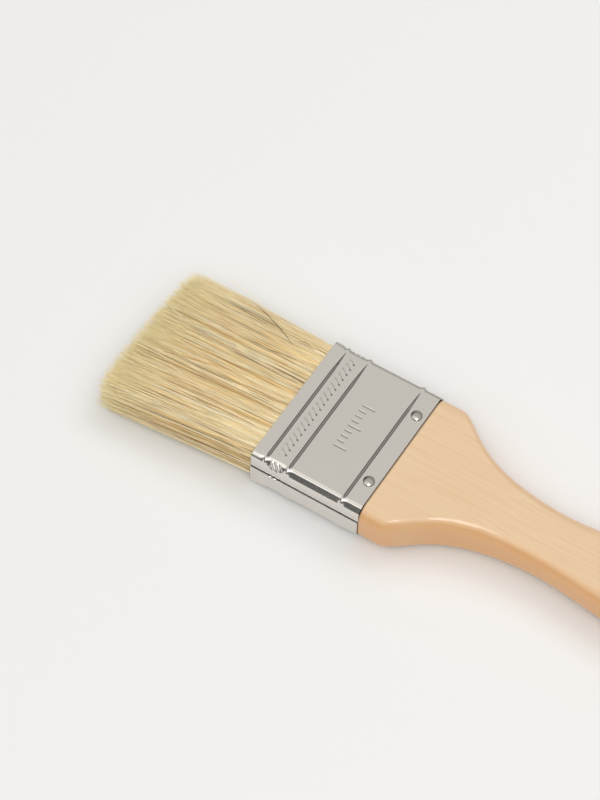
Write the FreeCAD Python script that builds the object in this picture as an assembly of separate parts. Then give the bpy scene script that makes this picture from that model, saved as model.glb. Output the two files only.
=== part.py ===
"""Flat pastry brush: wooden handle, tinplate ferrule, three rows of bristle set in resin round two
wooden plugs, and four round-head nails.

Frame, in millimetres: the brush lies flat. +X runs from the bristle tips to the handle's end, +Y across
the brush and +Z up. The origin is below the middle of the brush, on the surface that it lies on.
"""

import FreeCAD
import Part
import math
import os

# ---------------------------------------------------------------- driving dimensions
OVERALL_LENGTH = 210.0
BRISTLE_OUT = 55.0  # bristle length that shows past the ferrule
FERRULE_LENGTH = 38.0
FERRULE_WIDTH = 50.8
FERRULE_DEPTH = 15.0
SHEET = 0.4  # tinplate thickness
FERRULE_CORNER = 4.0
LAP_GAP = 0.05  # air between the two layers of the side lap
LAP_TOP = 1.3  # the outer layer's edge, above mid-depth
LAP_BOTTOM = -2.5  # the inner layer's edge

# along the ferrule, from its handle end towards the bristles
HANDLE_BEAD = 6.4
MIDDLE_BEAD = 25.6
LIP_BEAD = 33.4
NAIL_INSET = 3.0
TENON_LENGTH = 15.0
ROOT_INSET = 18.0  # where the bristle roots start
RESIN_INSET = (15.5, 27.0)
PLUG_INSET = (20.0, 36.5)

BEAD_DEPTH = 0.45
BEAD_WIDTH = 1.3
BEAD_HALF_SPAN = 20.5

NAIL_HEAD_RADIUS = 1.8
NAIL_HEAD_HEIGHT = 0.9
NAIL_HEAD_RIM = 0.25
NAIL_SHANK_RADIUS = 0.7
NAIL_SHANK_LENGTH = 9.0
NAIL_POINT = 1.6
FRONT_NAIL_Y = 14.0
BACK_NAIL_Y = 9.5  # the two pairs miss each other inside the wood

FILL_CORNER = 5.2  # tenon, resin and bristle stay clear of the ferrule's pressed corners
CLEARANCE = 0.15
CONTACT = 0.02

BLANK_CORNER = 4.6  # rounding of the shoulder's long edges
SHOULDER_LENGTH = 7.6
SHOULDER_HALF_WIDTH = 25.4
BLANK_HALF_DEPTH = 7.3
HANG_HOLE_RADIUS = 3.5
HANG_HOLE_FROM_END = 13.0
HANG_HOLE_WALL = 10.8  # the straight part of the hole, between its two countersunk rims

PLUG_DEPTH = 1.9
PLUG_HALF_WIDTH = 23.2
TIP_DEPTH = 11.4
TIP_HALF_WIDTH = 27.4
TIP_CORNER = 2.2
ROW_CORNER = 0.6
ROW_SPARE = 1.0  # the outer rows are drawn this much too big, and the shape of the whole pack trims them
PLUG_CORNER = 0.3

# ---------------------------------------------------------------- places worked out from them
X_TIP = -OVERALL_LENGTH / 2
X_MOUTH = X_TIP + BRISTLE_OUT
X_HEEL = X_MOUTH + FERRULE_LENGTH
X_END = OVERALL_LENGTH / 2
MID_Z = NAIL_HEAD_HEIGHT + FERRULE_DEPTH / 2

HALF_WIDTH = FERRULE_WIDTH / 2
HALF_DEPTH = FERRULE_DEPTH / 2
BEADS = [X_HEEL - inset for inset in (HANDLE_BEAD, MIDDLE_BEAD, LIP_BEAD)]
INNER_HALF_WIDTH = HALF_WIDTH - 2 * SHEET - LAP_GAP
INNER_HALF_DEPTH = HALF_DEPTH - SHEET
PACK_HALF_WIDTH = INNER_HALF_WIDTH - CLEARANCE
PACK_HALF_DEPTH = INNER_HALF_DEPTH - 2 * CONTACT
ROW_DEPTH = (2 * PACK_HALF_DEPTH - 2 * PLUG_DEPTH - 4 * CONTACT) / 3

# Handle sections: distance from the ferrule, half width, half depth, radius of the rounded edges.
# The first five are drawn deeper than the blank, so that the blank trims them to a crisp edge along the cut.
HANDLE_SECTIONS = [
    (SHOULDER_LENGTH, SHOULDER_HALF_WIDTH, 7.7, 4.8),
    (10.5, 24.0, 7.7, 4.8),
    (14.0, 21.4, 7.7, 4.8),
    (20.0, 17.0, 7.7, 4.8),
    (27.0, 13.6, 7.6, 4.8),
    (35.0, 11.4, 7.2, 4.6),
    (44.0, 10.4, 6.5, 4.6),
    (54.0, 10.2, 6.1, 4.6),
    (66.0, 11.3, 6.2, 4.8),
    (80.0, 12.8, 6.6, 5.0),
    (90.0, 13.5, 6.8, 5.2),
]
BUTT_LENGTH = X_END - X_HEEL - HANDLE_SECTIONS[-1][0]
BUTT_STEPS = 8
BUTT_CAP = 0.985  # the dome stops just short of its pole, at a small flat
BUTT_POWER = 2.4


def vector(x, y, z):
    return FreeCAD.Vector(x, y, z)


def rounded_rectangle(x, half_width, half_depth, radius, centre_z=MID_Z):
    """A wire across the brush at x, with four arcs at its corners."""
    w, d, r = half_width, half_depth, radius
    corners = [(w - r, d - r, 0), (r - w, d - r, 90), (r - w, r - d, 180), (w - r, r - d, 270)]
    edges = []
    ends = []
    for y, z, start in corners:
        points = []
        for angle in (start, start + 45, start + 90):
            turn = math.radians(angle)
            points.append(vector(x, y + r * math.cos(turn), centre_z + z + r * math.sin(turn)))
        edges.append(Part.Arc(*points).toShape())
        ends.append((points[0], points[2]))
    chain = []
    for index in range(4):
        chain.append(edges[index])
        chain.append(Part.LineSegment(ends[index][1], ends[(index + 1) % 4][0]).toShape())
    return Part.Wire(chain)


def prism(x_from, x_to, half_width, half_depth, radius, centre_z=MID_Z):
    face = Part.Face(rounded_rectangle(x_from, half_width, half_depth, radius, centre_z))
    return face.extrude(vector(x_to - x_from, 0, 0))


def bead_bar(x, side, grow=0.0):
    """The round-ended bar that presses one bead into one face. side is +1 on the front, -1 on the back."""
    radius = (BEAD_WIDTH**2 / 4 + BEAD_DEPTH**2) / (2 * BEAD_DEPTH)
    z = MID_Z + side * (HALF_DEPTH + radius - BEAD_DEPTH)
    start = vector(x, -BEAD_HALF_SPAN, z)
    bar = Part.makeCylinder(radius + grow, 2 * BEAD_HALF_SPAN, start, vector(0, 1, 0))
    for end in (-BEAD_HALF_SPAN, BEAD_HALF_SPAN):
        bar = bar.fuse(Part.makeSphere(radius + grow, vector(x, end, z)))
    return bar


def cut_beads(shape, beads, grow):
    for x in beads:
        for side in (1, -1):
            shape = shape.cut(bead_bar(x, side, grow))
    return shape


def nail_places():
    """name, y and side of each nail."""
    places = []
    for face, side, y in (("front", 1, FRONT_NAIL_Y), ("back", -1, BACK_NAIL_Y)):
        places.append((f"nail_{face}_left", -y, side))
        places.append((f"nail_{face}_right", y, side))
    return places


def nail(y, side):
    """A round-head nail turned about its own axis: domed head, shank and point."""
    dome = NAIL_HEAD_HEIGHT - NAIL_HEAD_RIM
    sphere = (NAIL_HEAD_RADIUS**2 + dome**2) / (2 * dome)
    half_angle = math.asin(NAIL_HEAD_RADIUS / sphere) / 2
    top = vector(0, 0, NAIL_HEAD_HEIGHT)
    sag = sphere * (1 - math.cos(half_angle))
    middle = vector(sphere * math.sin(half_angle), 0, NAIL_HEAD_HEIGHT - sag)
    rim = vector(NAIL_HEAD_RADIUS, 0, NAIL_HEAD_RIM)
    under = vector(NAIL_HEAD_RADIUS - NAIL_HEAD_RIM / 2, 0, 0)
    neck = vector(NAIL_SHANK_RADIUS, 0, 0)
    shank_end = vector(NAIL_SHANK_RADIUS, 0, NAIL_POINT - NAIL_SHANK_LENGTH)
    point = vector(0, 0, -NAIL_SHANK_LENGTH)
    edges = [Part.Arc(top, middle, rim).toShape()]
    corners = [rim, under, neck, shank_end, point, top]
    for start, end in zip(corners, corners[1:]):
        edges.append(Part.LineSegment(start, end).toShape())
    shape = Part.Face(Part.Wire(edges)).revolve(vector(0, 0, 0), vector(0, 0, 1), 360)
    if side < 0:
        shape.rotate(vector(0, 0, 0), vector(1, 0, 0), 180)
    shape.translate(vector(X_HEEL - NAIL_INSET, y, MID_Z + side * HALF_DEPTH))
    return shape


def cut_nail_holes(shape):
    """Clears each nail's shank and point out of the ferrule or the wood."""
    for _, y, side in nail_places():
        face = MID_Z + side * HALF_DEPTH
        start = vector(X_HEEL - NAIL_INSET, y, face)
        length = NAIL_SHANK_LENGTH + CONTACT
        hole = Part.makeCylinder(NAIL_SHANK_RADIUS + CONTACT, length, start, vector(0, 0, -side))
        shape = shape.cut(hole)
    return shape


def strip_wire(x):
    """The ferrule's strip seen end on: once round the brush, with its last side lapped over its first."""
    r = FERRULE_CORNER
    near_in = -HALF_WIDTH + SHEET + LAP_GAP
    low, high = -HALF_DEPTH + r, HALF_DEPTH - r
    bends = [
        (near_in + r, high, 180),
        (HALF_WIDTH - r, high, 90),
        (HALF_WIDTH - r, low, 0),
        (-HALF_WIDTH + r, low, -90),
    ]
    sides = []
    for radius in (r, r - SHEET):
        places = [(near_in + r - radius, LAP_BOTTOM)]
        for y, z, start in bends:
            for angle in (start, start - 45, start - 90):
                turn = math.radians(angle)
                places.append((y + radius * math.cos(turn), z + radius * math.sin(turn)))
        places.append((-HALF_WIDTH + r - radius, LAP_TOP))
        sides.append([vector(x, y, MID_Z + z) for y, z in places])
    edges = []
    for points in sides:
        edges.append(Part.LineSegment(points[0], points[1]).toShape())
        for first in range(1, len(points) - 1, 3):
            edges.append(Part.Arc(*points[first : first + 3]).toShape())
            edges.append(Part.LineSegment(points[first + 2], points[first + 3]).toShape())
    outer, inner = sides
    edges.append(Part.LineSegment(outer[0], inner[0]).toShape())
    edges.append(Part.LineSegment(outer[-1], inner[-1]).toShape())
    return Part.Wire(Part.__sortEdges__(edges))


def ferrule():
    shape = Part.Face(strip_wire(X_MOUTH)).extrude(vector(FERRULE_LENGTH, 0, 0))
    corner = vector(X_MOUTH, -HALF_WIDTH, MID_Z - HALF_DEPTH)
    inside = Part.makeBox(FERRULE_LENGTH, FERRULE_WIDTH, FERRULE_DEPTH, corner)
    for x in BEADS:
        for side in (1, -1):
            shape = shape.fuse(bead_bar(x, side, SHEET).common(inside))
    shape = cut_beads(shape, BEADS, 0.0)
    return cut_nail_holes(shape).removeSplitter()


def butt_wires():
    """Sections of the rounded end, which shrink along a superellipse to a small flat."""
    _, half_width, half_depth, radius = HANDLE_SECTIONS[-1]
    wires = []
    for step in range(1, BUTT_STEPS + 1):
        share = BUTT_CAP * math.sin(math.radians(90 * step / BUTT_STEPS))
        scale = (1 - share**BUTT_POWER) ** (1 / BUTT_POWER)
        x = X_END - BUTT_LENGTH * (1 - share / BUTT_CAP)
        wires.append(rounded_rectangle(x, half_width * scale, half_depth * scale, radius * scale))
    return wires


def handle():
    """A tenon and shoulder with the blank's rounded edges, and a neck and grip carved out of that blank."""
    tenon_half_depth = INNER_HALF_DEPTH - CLEARANCE
    tenon = prism(X_HEEL - TENON_LENGTH, X_HEEL, PACK_HALF_WIDTH, tenon_half_depth, FILL_CORNER)
    tenon = cut_beads(tenon, BEADS[:1], SHEET + CONTACT)
    blank = prism(X_HEEL, X_END, SHOULDER_HALF_WIDTH, BLANK_HALF_DEPTH, BLANK_CORNER)
    shoulder = prism(X_HEEL, X_HEEL + SHOULDER_LENGTH, SHOULDER_HALF_WIDTH, BLANK_HALF_DEPTH, BLANK_CORNER)
    wires = []
    for distance, half_width, half_depth, radius in HANDLE_SECTIONS:
        wires.append(rounded_rectangle(X_HEEL + distance, half_width, half_depth, radius))
    grip = Part.makeLoft(wires + butt_wires(), True, False)
    body = grip.common(blank).fuse([shoulder, tenon])
    return cut_hang_hole(cut_nail_holes(body)).removeSplitter()


def cut_hang_hole(shape):
    """The hanging hole with a countersunk rim on each face."""
    x = X_END - HANG_HOLE_FROM_END
    reach = HALF_DEPTH - HANG_HOLE_WALL / 2
    hole = Part.makeCylinder(HANG_HOLE_RADIUS, 2 * FERRULE_DEPTH, vector(x, 0, MID_Z - FERRULE_DEPTH))
    shape = shape.cut(hole)
    for side in (1, -1):
        start = vector(x, 0, MID_Z + side * HANG_HOLE_WALL / 2)
        rim = Part.makeCone(HANG_HOLE_RADIUS, HANG_HOLE_RADIUS + reach, reach, start, vector(0, 0, side))
        shape = shape.cut(rim)
    return shape


def row_height(index):
    """Mid-height of bristle row 0 (front), 1 (middle) or 2 (back) inside the ferrule."""
    return (1 - index) * (ROW_DEPTH + PLUG_DEPTH + 2 * CONTACT)


def pack_shape():
    """The outside of all three rows together: the ferrule's inner shape, then a thinner, wider tip."""
    rooted = prism(X_MOUTH, X_HEEL - ROOT_INSET, PACK_HALF_WIDTH, PACK_HALF_DEPTH, FILL_CORNER)
    mouth = rounded_rectangle(X_MOUTH, PACK_HALF_WIDTH, PACK_HALF_DEPTH, FILL_CORNER)
    tip = rounded_rectangle(X_TIP, TIP_HALF_WIDTH, TIP_DEPTH / 2, TIP_CORNER)
    return rooted.fuse(Part.makeLoft([mouth, tip], True, True))


def bristle_row(index):
    """One row of bristle, straight in the ferrule and closing up past it, where no plug parts the rows."""
    side = 1 - index
    spare = ROW_SPARE * abs(side)
    root_x = X_HEEL - ROOT_INSET
    depth = ROW_DEPTH + spare
    centre = MID_Z + row_height(index) + side * spare / 2
    half_width = PACK_HALF_WIDTH + spare
    tip_depth = TIP_DEPTH / 3 - CONTACT + spare
    tip_centre = MID_Z + side * (TIP_DEPTH / 3 + spare / 2)
    row = prism(X_MOUTH, root_x, half_width, depth / 2, ROW_CORNER, centre)
    mouth = rounded_rectangle(X_MOUTH, half_width, depth / 2, ROW_CORNER, centre)
    tip = rounded_rectangle(X_TIP, TIP_HALF_WIDTH + spare, tip_depth / 2, ROW_CORNER, tip_centre)
    row = row.fuse(Part.makeLoft([mouth, tip], True, True))
    return cut_beads(row.common(pack_shape()), BEADS[1:], SHEET + CONTACT).removeSplitter()


def plug(index):
    """A thin wooden strip between two rows. It opens a pocket that holds butter, egg or oil."""
    start, end = PLUG_INSET
    centre = MID_Z + (row_height(index) + row_height(index + 1)) / 2
    return prism(X_HEEL - end, X_HEEL - start, PLUG_HALF_WIDTH, PLUG_DEPTH / 2, PLUG_CORNER, centre)


def resin(rows, plugs):
    """The cast block that holds the roots: it fills the ferrule round the rows and the plugs."""
    start, end = RESIN_INSET
    half_width = INNER_HALF_WIDTH - CONTACT
    block = prism(X_HEEL - end, X_HEEL - start, half_width, INNER_HALF_DEPTH - CONTACT, FILL_CORNER)
    block = cut_beads(block, BEADS[1:2], SHEET + CONTACT)
    for shape in rows + plugs:
        block = block.cut(shape)
    return block.removeSplitter()


def main():
    os.makedirs("parts", exist_ok=True)
    rows = [bristle_row(index) for index in range(3)]
    plugs = [plug(index) for index in range(2)]
    nodes = {
        "handle": handle(),
        "ferrule": ferrule(),
        "resin_setting": resin(rows, plugs),
        "bristles_front": rows[0],
        "bristles_middle": rows[1],
        "bristles_back": rows[2],
        "plug_front": plugs[0],
        "plug_back": plugs[1],
    }
    for name, y, side in nail_places():
        nodes[name] = nail(y, side)
    for name, shape in nodes.items():
        shape.exportStep(f"parts/{name}.step")
        print(name, len(shape.Solids), shape.isValid(), round(shape.Volume, 1))


main()
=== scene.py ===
import math
import bpy
import numpy as np
from mathutils import Matrix, Vector


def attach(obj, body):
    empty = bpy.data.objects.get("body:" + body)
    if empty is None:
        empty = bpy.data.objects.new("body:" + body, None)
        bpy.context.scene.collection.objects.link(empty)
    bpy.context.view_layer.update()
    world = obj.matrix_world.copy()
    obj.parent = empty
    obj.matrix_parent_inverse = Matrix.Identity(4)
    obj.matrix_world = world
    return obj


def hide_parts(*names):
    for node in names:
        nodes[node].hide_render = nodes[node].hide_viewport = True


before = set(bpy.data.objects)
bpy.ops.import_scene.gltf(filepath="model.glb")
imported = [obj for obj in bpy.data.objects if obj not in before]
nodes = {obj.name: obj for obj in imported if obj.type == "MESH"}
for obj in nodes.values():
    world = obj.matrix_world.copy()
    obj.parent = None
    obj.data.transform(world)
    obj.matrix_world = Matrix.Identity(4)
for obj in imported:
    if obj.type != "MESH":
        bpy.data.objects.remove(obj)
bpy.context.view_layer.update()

# ================================================================ bristles
# Natural bristle in three rows, the roots cast in resin inside the ferrule. Each strand leaves the mouth
# straight, then leans with the strands around it into loose tufts, and thins to a pale soft tip.

MM = 0.001
MID_HEIGHT = 8.4 * MM
ROOT_X = -30 * MM
MOUTH_X = -50 * MM
STRANDS_PER_ROW = 3300
POINTS_PER_STRAND = 10
STRAND_RADIUS = 0.11 * MM
ROW_DEPTH = 3.35 * MM
ROW_STEP_ROOT = 5.35 * MM
ROW_STEP_TIP = 4.2 * MM
TIP_ROW_DEPTH = 4.2 * MM
# the roots fill a rounded rectangle: half its flat height and width, and its corner radius
PACK_FLAT_HEIGHT = 3.3 * MM
PACK_FLAT_WIDTH = 20.6 * MM
PACK_CORNER = 3.7 * MM
ROOT_HEIGHT_LIMIT = 5.9 * MM  # beside the resin the strands close up, clear of the beads
MOUTH_HEIGHT_LIMIT = 7.0 * MM
FREE_LENGTH = 53.6 * MM
EDGE_SHORTER = 1.6 * MM
EDGE_POWER = 4.0  # how late the shortening toward both edges sets in
FAR_SHORTER = 0.7 * MM
TUFT_SIZE = 6.5 * MM
TUFT_LEAN = 7.0 * MM
TUFT_RISE = TUFT_LEAN / 3
TUFT_LENGTH = 15.0 * MM
TUFT_TONE = 0.3
STRAND_LEAN = 1.9 * MM
STRAND_RISE = STRAND_LEAN / 2
STRAND_LENGTH = 2.2 * MM
STRAND_WEAVE = 0.35 * MM
WEAVE_TURNS = 8.0
TIP_SPREAD = 0.085  # how much wider the rows are at the tips than at the mouth
TIP_SET = 1.1 * MM  # the tips have taken a set toward the near side
TIP_DROOP = 1.2 * MM
BEND_POWER = 1.6  # the strands bend most toward their tips
TAPER_START = 0.75
TIP_THICKNESS = 0.45
STRAND_SIDES = 3


def add(tree, kind, *values, named=None, **settings):
    """Adds a node and gives its first output. values fill its sockets in order, named ones by name."""
    node = tree.nodes.new(kind)
    for key, value in settings.items():
        setattr(node, key, value)
    pairs = list(zip([socket for socket in node.inputs if socket.enabled], values))
    pairs += [(node.inputs[name], value) for name, value in (named or {}).items()]
    for socket, value in pairs:
        if isinstance(value, bpy.types.NodeSocket):
            tree.links.new(value, socket)
        elif value is not None:
            socket.default_value = value
    outputs = [socket for socket in node.outputs if socket.enabled]
    return outputs[0] if outputs else None


def colour(code):
    """An sRGB hex code as linear red, green, blue and alpha."""
    levels = [int(code[place : place + 2], 16) / 255 for place in (1, 3, 5)]
    linear = [c / 12.92 if c <= 0.04045 else ((c + 0.055) / 1.055) ** 2.4 for c in levels]
    return (*linear, 1.0)


def set_ramp(socket, stops):
    """Gives the ramp node behind a socket its (place, colour) stops."""
    elements = socket.node.color_ramp.elements
    for place, _ in stops[2:]:
        elements.new(place)
    for element, (place, code) in zip(elements, stops):
        element.position = place
        element.color = colour(code)


def new_material(name):
    """A new material, its node tree and its shader."""
    made = bpy.data.materials.new(name)
    made.use_nodes = True
    return made, made.node_tree, made.node_tree.nodes["Principled BSDF"]


def show(obj):
    """Puts an object in the scene."""
    bpy.context.scene.collection.objects.link(obj)
    return obj


# Blond hog bristle: mostly cream to straw, with golden and a few brown hairs. The tips are split and pale,
# and the strands shine softly at a low angle.
bristle_material, tree, shader = new_material("natural_hog_bristle")
tone = add(tree, "ShaderNodeAttribute", attribute_name="tone").node.outputs["Fac"]
hair_colour = add(tree, "ShaderNodeValToRGB", tone)
set_ramp(
    hair_colour,
    [
        (0.0, "#5E3A1C"),
        (0.025, "#B98544"),
        (0.08, "#F2CE8A"),
        (0.3, "#FDE7B4"),
        (0.65, "#FFF3D0"),
        (1.0, "#FFFBEE"),
    ],
)
reach = add(tree, "ShaderNodeAttribute", attribute_name="reach").node.outputs["Fac"]
tip_share = add(tree, "ShaderNodeMapRange", reach, 0.65, 0.95, 0.0, 0.9)
hair_colour = hair_colour.node.outputs["Color"]
hair_colour = add(tree, "ShaderNodeMix", tip_share, hair_colour, colour("#FFF3CA"), data_type="RGBA")
tree.links.new(hair_colour, shader.inputs["Base Color"])
shader.inputs["Roughness"].default_value = 0.42
shader.inputs["Sheen Weight"].default_value = 0.5
shader.inputs["Sheen Roughness"].default_value = 0.6
shader.inputs["Sheen Tint"].default_value = colour("#FFF1C4")

tree = bpy.data.node_groups.new("bristle_row", "GeometryNodeTree")
tree.is_modifier = True
row_inputs = {}
for name, kind in (
    ("Strands", "NodeSocketInt"),
    ("Root Height", "NodeSocketFloat"),
    ("Tip Height", "NodeSocketFloat"),
    ("Seed", "NodeSocketInt"),
    ("Material", "NodeSocketMaterial"),
):
    row_inputs[name] = tree.interface.new_socket(name, in_out="INPUT", socket_type=kind).identifier
tree.interface.new_socket("Geometry", in_out="OUTPUT", socket_type="NodeSocketGeometry")
group = add(tree, "NodeGroupInput").node.outputs

# one straight line of points for each strand
line = add(tree, "GeometryNodeCurvePrimitiveLine", (0, 0, 0), (-1, 0, 0))
line = add(tree, "GeometryNodeResampleCurve", line, None, POINTS_PER_STRAND)
points = add(tree, "GeometryNodePoints", group["Strands"])
strands = add(tree, "GeometryNodeInstanceOnPoints", points, None, line)
strands = add(tree, "GeometryNodeRealizeInstances", strands)

# free is 0 at the mouth and 1 at the tip; draw and stray are each strand's own random numbers
index = add(tree, "GeometryNodeInputIndex")
strand = add(tree, "GeometryNodeFieldOnDomain", index, data_type="INT", domain="CURVE")
step = add(tree, "GeometryNodeSplineParameter").node.outputs["Index"]
free = add(tree, "ShaderNodeMapRange", step, 1.0, POINTS_PER_STRAND - 1.0, 0.0, 1.0)
bend = add(tree, "ShaderNodeMath", free, BEND_POWER, operation="POWER")
second_seed = add(tree, "ShaderNodeMath", group["Seed"], 1.0, operation="ADD")
least, most = (-1, -1, -1), (1, 1, 1)
draw = add(tree, "FunctionNodeRandomValue", least, most, strand, group["Seed"], data_type="FLOAT_VECTOR")
draw = add(tree, "ShaderNodeSeparateXYZ", draw).node.outputs
stray = add(tree, "FunctionNodeRandomValue", least, most, strand, second_seed, data_type="FLOAT_VECTOR")
stray = add(tree, "ShaderNodeSeparateXYZ", stray).node.outputs

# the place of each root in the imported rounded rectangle
depth = ROW_DEPTH / 2
height = add(tree, "ShaderNodeMath", draw["Y"], depth, group["Root Height"], operation="MULTIPLY_ADD")
over = add(tree, "ShaderNodeMath", height, operation="ABSOLUTE")
over = add(tree, "ShaderNodeMath", over, PACK_FLAT_HEIGHT, operation="SUBTRACT")
over = add(tree, "ShaderNodeMath", over, 0.0, operation="MAXIMUM")
over = add(tree, "ShaderNodeMath", over, over, operation="MULTIPLY")
room = add(tree, "ShaderNodeMath", PACK_CORNER**2, over, operation="SUBTRACT")
room = add(tree, "ShaderNodeMath", room, 0.5, operation="POWER")
room = add(tree, "ShaderNodeMath", room, PACK_FLAT_WIDTH, operation="ADD")
side = add(tree, "ShaderNodeMath", draw["X"], room, operation="MULTIPLY")

# strands that stand close together lean as one tuft
where = add(tree, "ShaderNodeCombineXYZ", side, height, group["Root Height"])
tuft = add(tree, "ShaderNodeTexNoise", where, None, 1 / TUFT_SIZE, 1.5, 0.5).node.outputs["Color"]
tuft = add(tree, "ShaderNodeVectorMath", tuft, (0.5, 0.5, 0.5), operation="SUBTRACT")
tuft = add(tree, "ShaderNodeSeparateXYZ", tuft).node.outputs

# how far sideways each point goes: the spread of the row, the lean of its tuft and its own
spread = add(tree, "ShaderNodeMath", side, TIP_SPREAD, -TIP_SET, operation="MULTIPLY_ADD")
spread = add(tree, "ShaderNodeMath", spread, free, side, operation="MULTIPLY_ADD")
lean = add(tree, "ShaderNodeMath", tuft["X"], TUFT_LEAN, operation="MULTIPLY")
new_side = add(tree, "ShaderNodeMath", lean, bend, spread, operation="MULTIPLY_ADD")
lean = add(tree, "ShaderNodeMath", stray["Y"], STRAND_LEAN, operation="MULTIPLY")
new_side = add(tree, "ShaderNodeMath", lean, free, new_side, operation="MULTIPLY_ADD")

# how high each point lies: held low inside the ferrule, then leaning, weaving and drooping to the tip
depth = TIP_ROW_DEPTH / 2
tip_height = add(tree, "ShaderNodeMath", draw["Y"], depth, group["Tip Height"], operation="MULTIPLY_ADD")
limit = add(tree, "ShaderNodeMapRange", step, 0.0, 1.0, ROOT_HEIGHT_LIMIT, MOUTH_HEIGHT_LIMIT)
height = add(tree, "ShaderNodeMath", height, limit, operation="MINIMUM")
limit = add(tree, "ShaderNodeMath", limit, -1.0, operation="MULTIPLY")
height = add(tree, "ShaderNodeMath", height, limit, operation="MAXIMUM")
new_height = add(tree, "ShaderNodeMix", free, height, tip_height)
rise = add(tree, "ShaderNodeMath", tuft["Z"], TUFT_RISE, operation="MULTIPLY")
new_height = add(tree, "ShaderNodeMath", rise, bend, new_height, operation="MULTIPLY_ADD")
rise = add(tree, "ShaderNodeMath", stray["Z"], STRAND_RISE, operation="MULTIPLY")
new_height = add(tree, "ShaderNodeMath", rise, free, new_height, operation="MULTIPLY_ADD")
new_height = add(tree, "ShaderNodeMath", bend, -TIP_DROOP, new_height, operation="MULTIPLY_ADD")
wave = add(tree, "ShaderNodeMath", stray["X"], 2 * math.pi, operation="MULTIPLY")
wave = add(tree, "ShaderNodeMath", free, WEAVE_TURNS, wave, operation="MULTIPLY_ADD")
wave = add(tree, "ShaderNodeMath", wave, operation="SINE")
wave = add(tree, "ShaderNodeMath", wave, free, operation="MULTIPLY")
new_height = add(tree, "ShaderNodeMath", wave, STRAND_WEAVE, new_height, operation="MULTIPLY_ADD")
new_height = add(tree, "ShaderNodeMath", new_height, MID_HEIGHT, operation="ADD")
new_height = add(tree, "ShaderNodeMath", new_height, 2 * STRAND_RADIUS, operation="MAXIMUM")

# how far each point reaches out of the mouth
edge = add(tree, "ShaderNodeMath", side, PACK_FLAT_WIDTH + PACK_CORNER, operation="DIVIDE")
length = add(tree, "ShaderNodeMath", edge, -FAR_SHORTER, FREE_LENGTH, operation="MULTIPLY_ADD")
edge = add(tree, "ShaderNodeMath", edge, EDGE_POWER, operation="POWER")
length = add(tree, "ShaderNodeMath", edge, -EDGE_SHORTER, length, operation="MULTIPLY_ADD")
length = add(tree, "ShaderNodeMath", tuft["Y"], TUFT_LENGTH, length, operation="MULTIPLY_ADD")
length = add(tree, "ShaderNodeMath", stray["X"], STRAND_LENGTH, length, operation="MULTIPLY_ADD")
out = add(tree, "ShaderNodeMath", free, length, operation="MULTIPLY")
held = add(tree, "ShaderNodeMapRange", step, 0.0, 1.0, ROOT_X, MOUTH_X)
new_along = add(tree, "ShaderNodeMath", held, out, operation="SUBTRACT")
position = add(tree, "ShaderNodeCombineXYZ", new_along, new_side, new_height)

# tone and reach colour the strands
tone = add(tree, "ShaderNodeMapRange", draw["Z"], -1.0, 1.0, 0.0, 1.0)
tone = add(tree, "ShaderNodeMath", tuft["Z"], TUFT_TONE, tone, operation="MULTIPLY_ADD")
on_points = {"data_type": "FLOAT", "domain": "POINT"}
strands = add(tree, "GeometryNodeStoreNamedAttribute", strands, None, "tone", tone, **on_points)
strands = add(tree, "GeometryNodeStoreNamedAttribute", strands, None, "reach", free, **on_points)
strands = add(tree, "GeometryNodeSetPosition", strands, None, position)

# each line gets its thickness, which narrows toward the tip
taper = add(tree, "ShaderNodeMapRange", free, TAPER_START, 1.0, STRAND_RADIUS, STRAND_RADIUS * TIP_THICKNESS)
strands = add(tree, "GeometryNodeSetCurveRadius", strands, None, taper)
ring = add(tree, "GeometryNodeCurvePrimitiveCircle", STRAND_SIDES, 1.0)
radius = add(tree, "GeometryNodeInputRadius")
strands = add(tree, "GeometryNodeCurveToMesh", strands, ring, radius, True)
strands = add(tree, "GeometryNodeSetShadeSmooth", strands, None, False)
strands = add(tree, "GeometryNodeRealizeInstances", strands)
strands = add(tree, "GeometryNodeSetMaterial", strands, None, group["Material"])
add(tree, "NodeGroupOutput", strands)


def grow(name, group_tree, identifiers, values):
    """Runs a node tree on an empty piece and keeps the result as a plain mesh."""
    obj = show(bpy.data.objects.new(name, bpy.data.meshes.new(name)))
    modifier = obj.modifiers.new(name, "NODES")
    modifier.node_group = group_tree
    for key, value in values.items():
        modifier[identifiers[key]] = value
    bpy.context.view_layer.update()
    evaluated = obj.evaluated_get(bpy.context.evaluated_depsgraph_get())
    mesh = bpy.data.meshes.new_from_object(evaluated)
    obj.modifiers.clear()
    obj.data = mesh
    return obj


for name, row, seed in (("front", 1, 11), ("middle", 0, 23), ("back", -1, 37)):
    values = {
        "Strands": STRANDS_PER_ROW,
        "Root Height": row * ROW_STEP_ROOT,
        "Tip Height": row * ROW_STEP_TIP,
        "Seed": seed,
        "Material": bristle_material,
    }
    strands = grow(f"bristle_strands_{name}", tree, row_inputs, values)
    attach(strands, "root")
    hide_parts(f"bristles_{name}")

# ================================================================ loose hairs
# A few strands of the same bristle have worked loose in use and lie over the front row, bowed to one side.
# They are held at the roots by nothing but their neighbours, and thin out toward both ends.

LOOSE_RADIUS = 0.1 * MM
LOOSE_POINTS = 14
LOOSE_SIDES = 5
LOOSE_END = 0.35  # thickness at the ends, as a share of the middle
LOOSE_TAPER = 3
LOOSE_REACH = 0.9  # how pale the far end is
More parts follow.
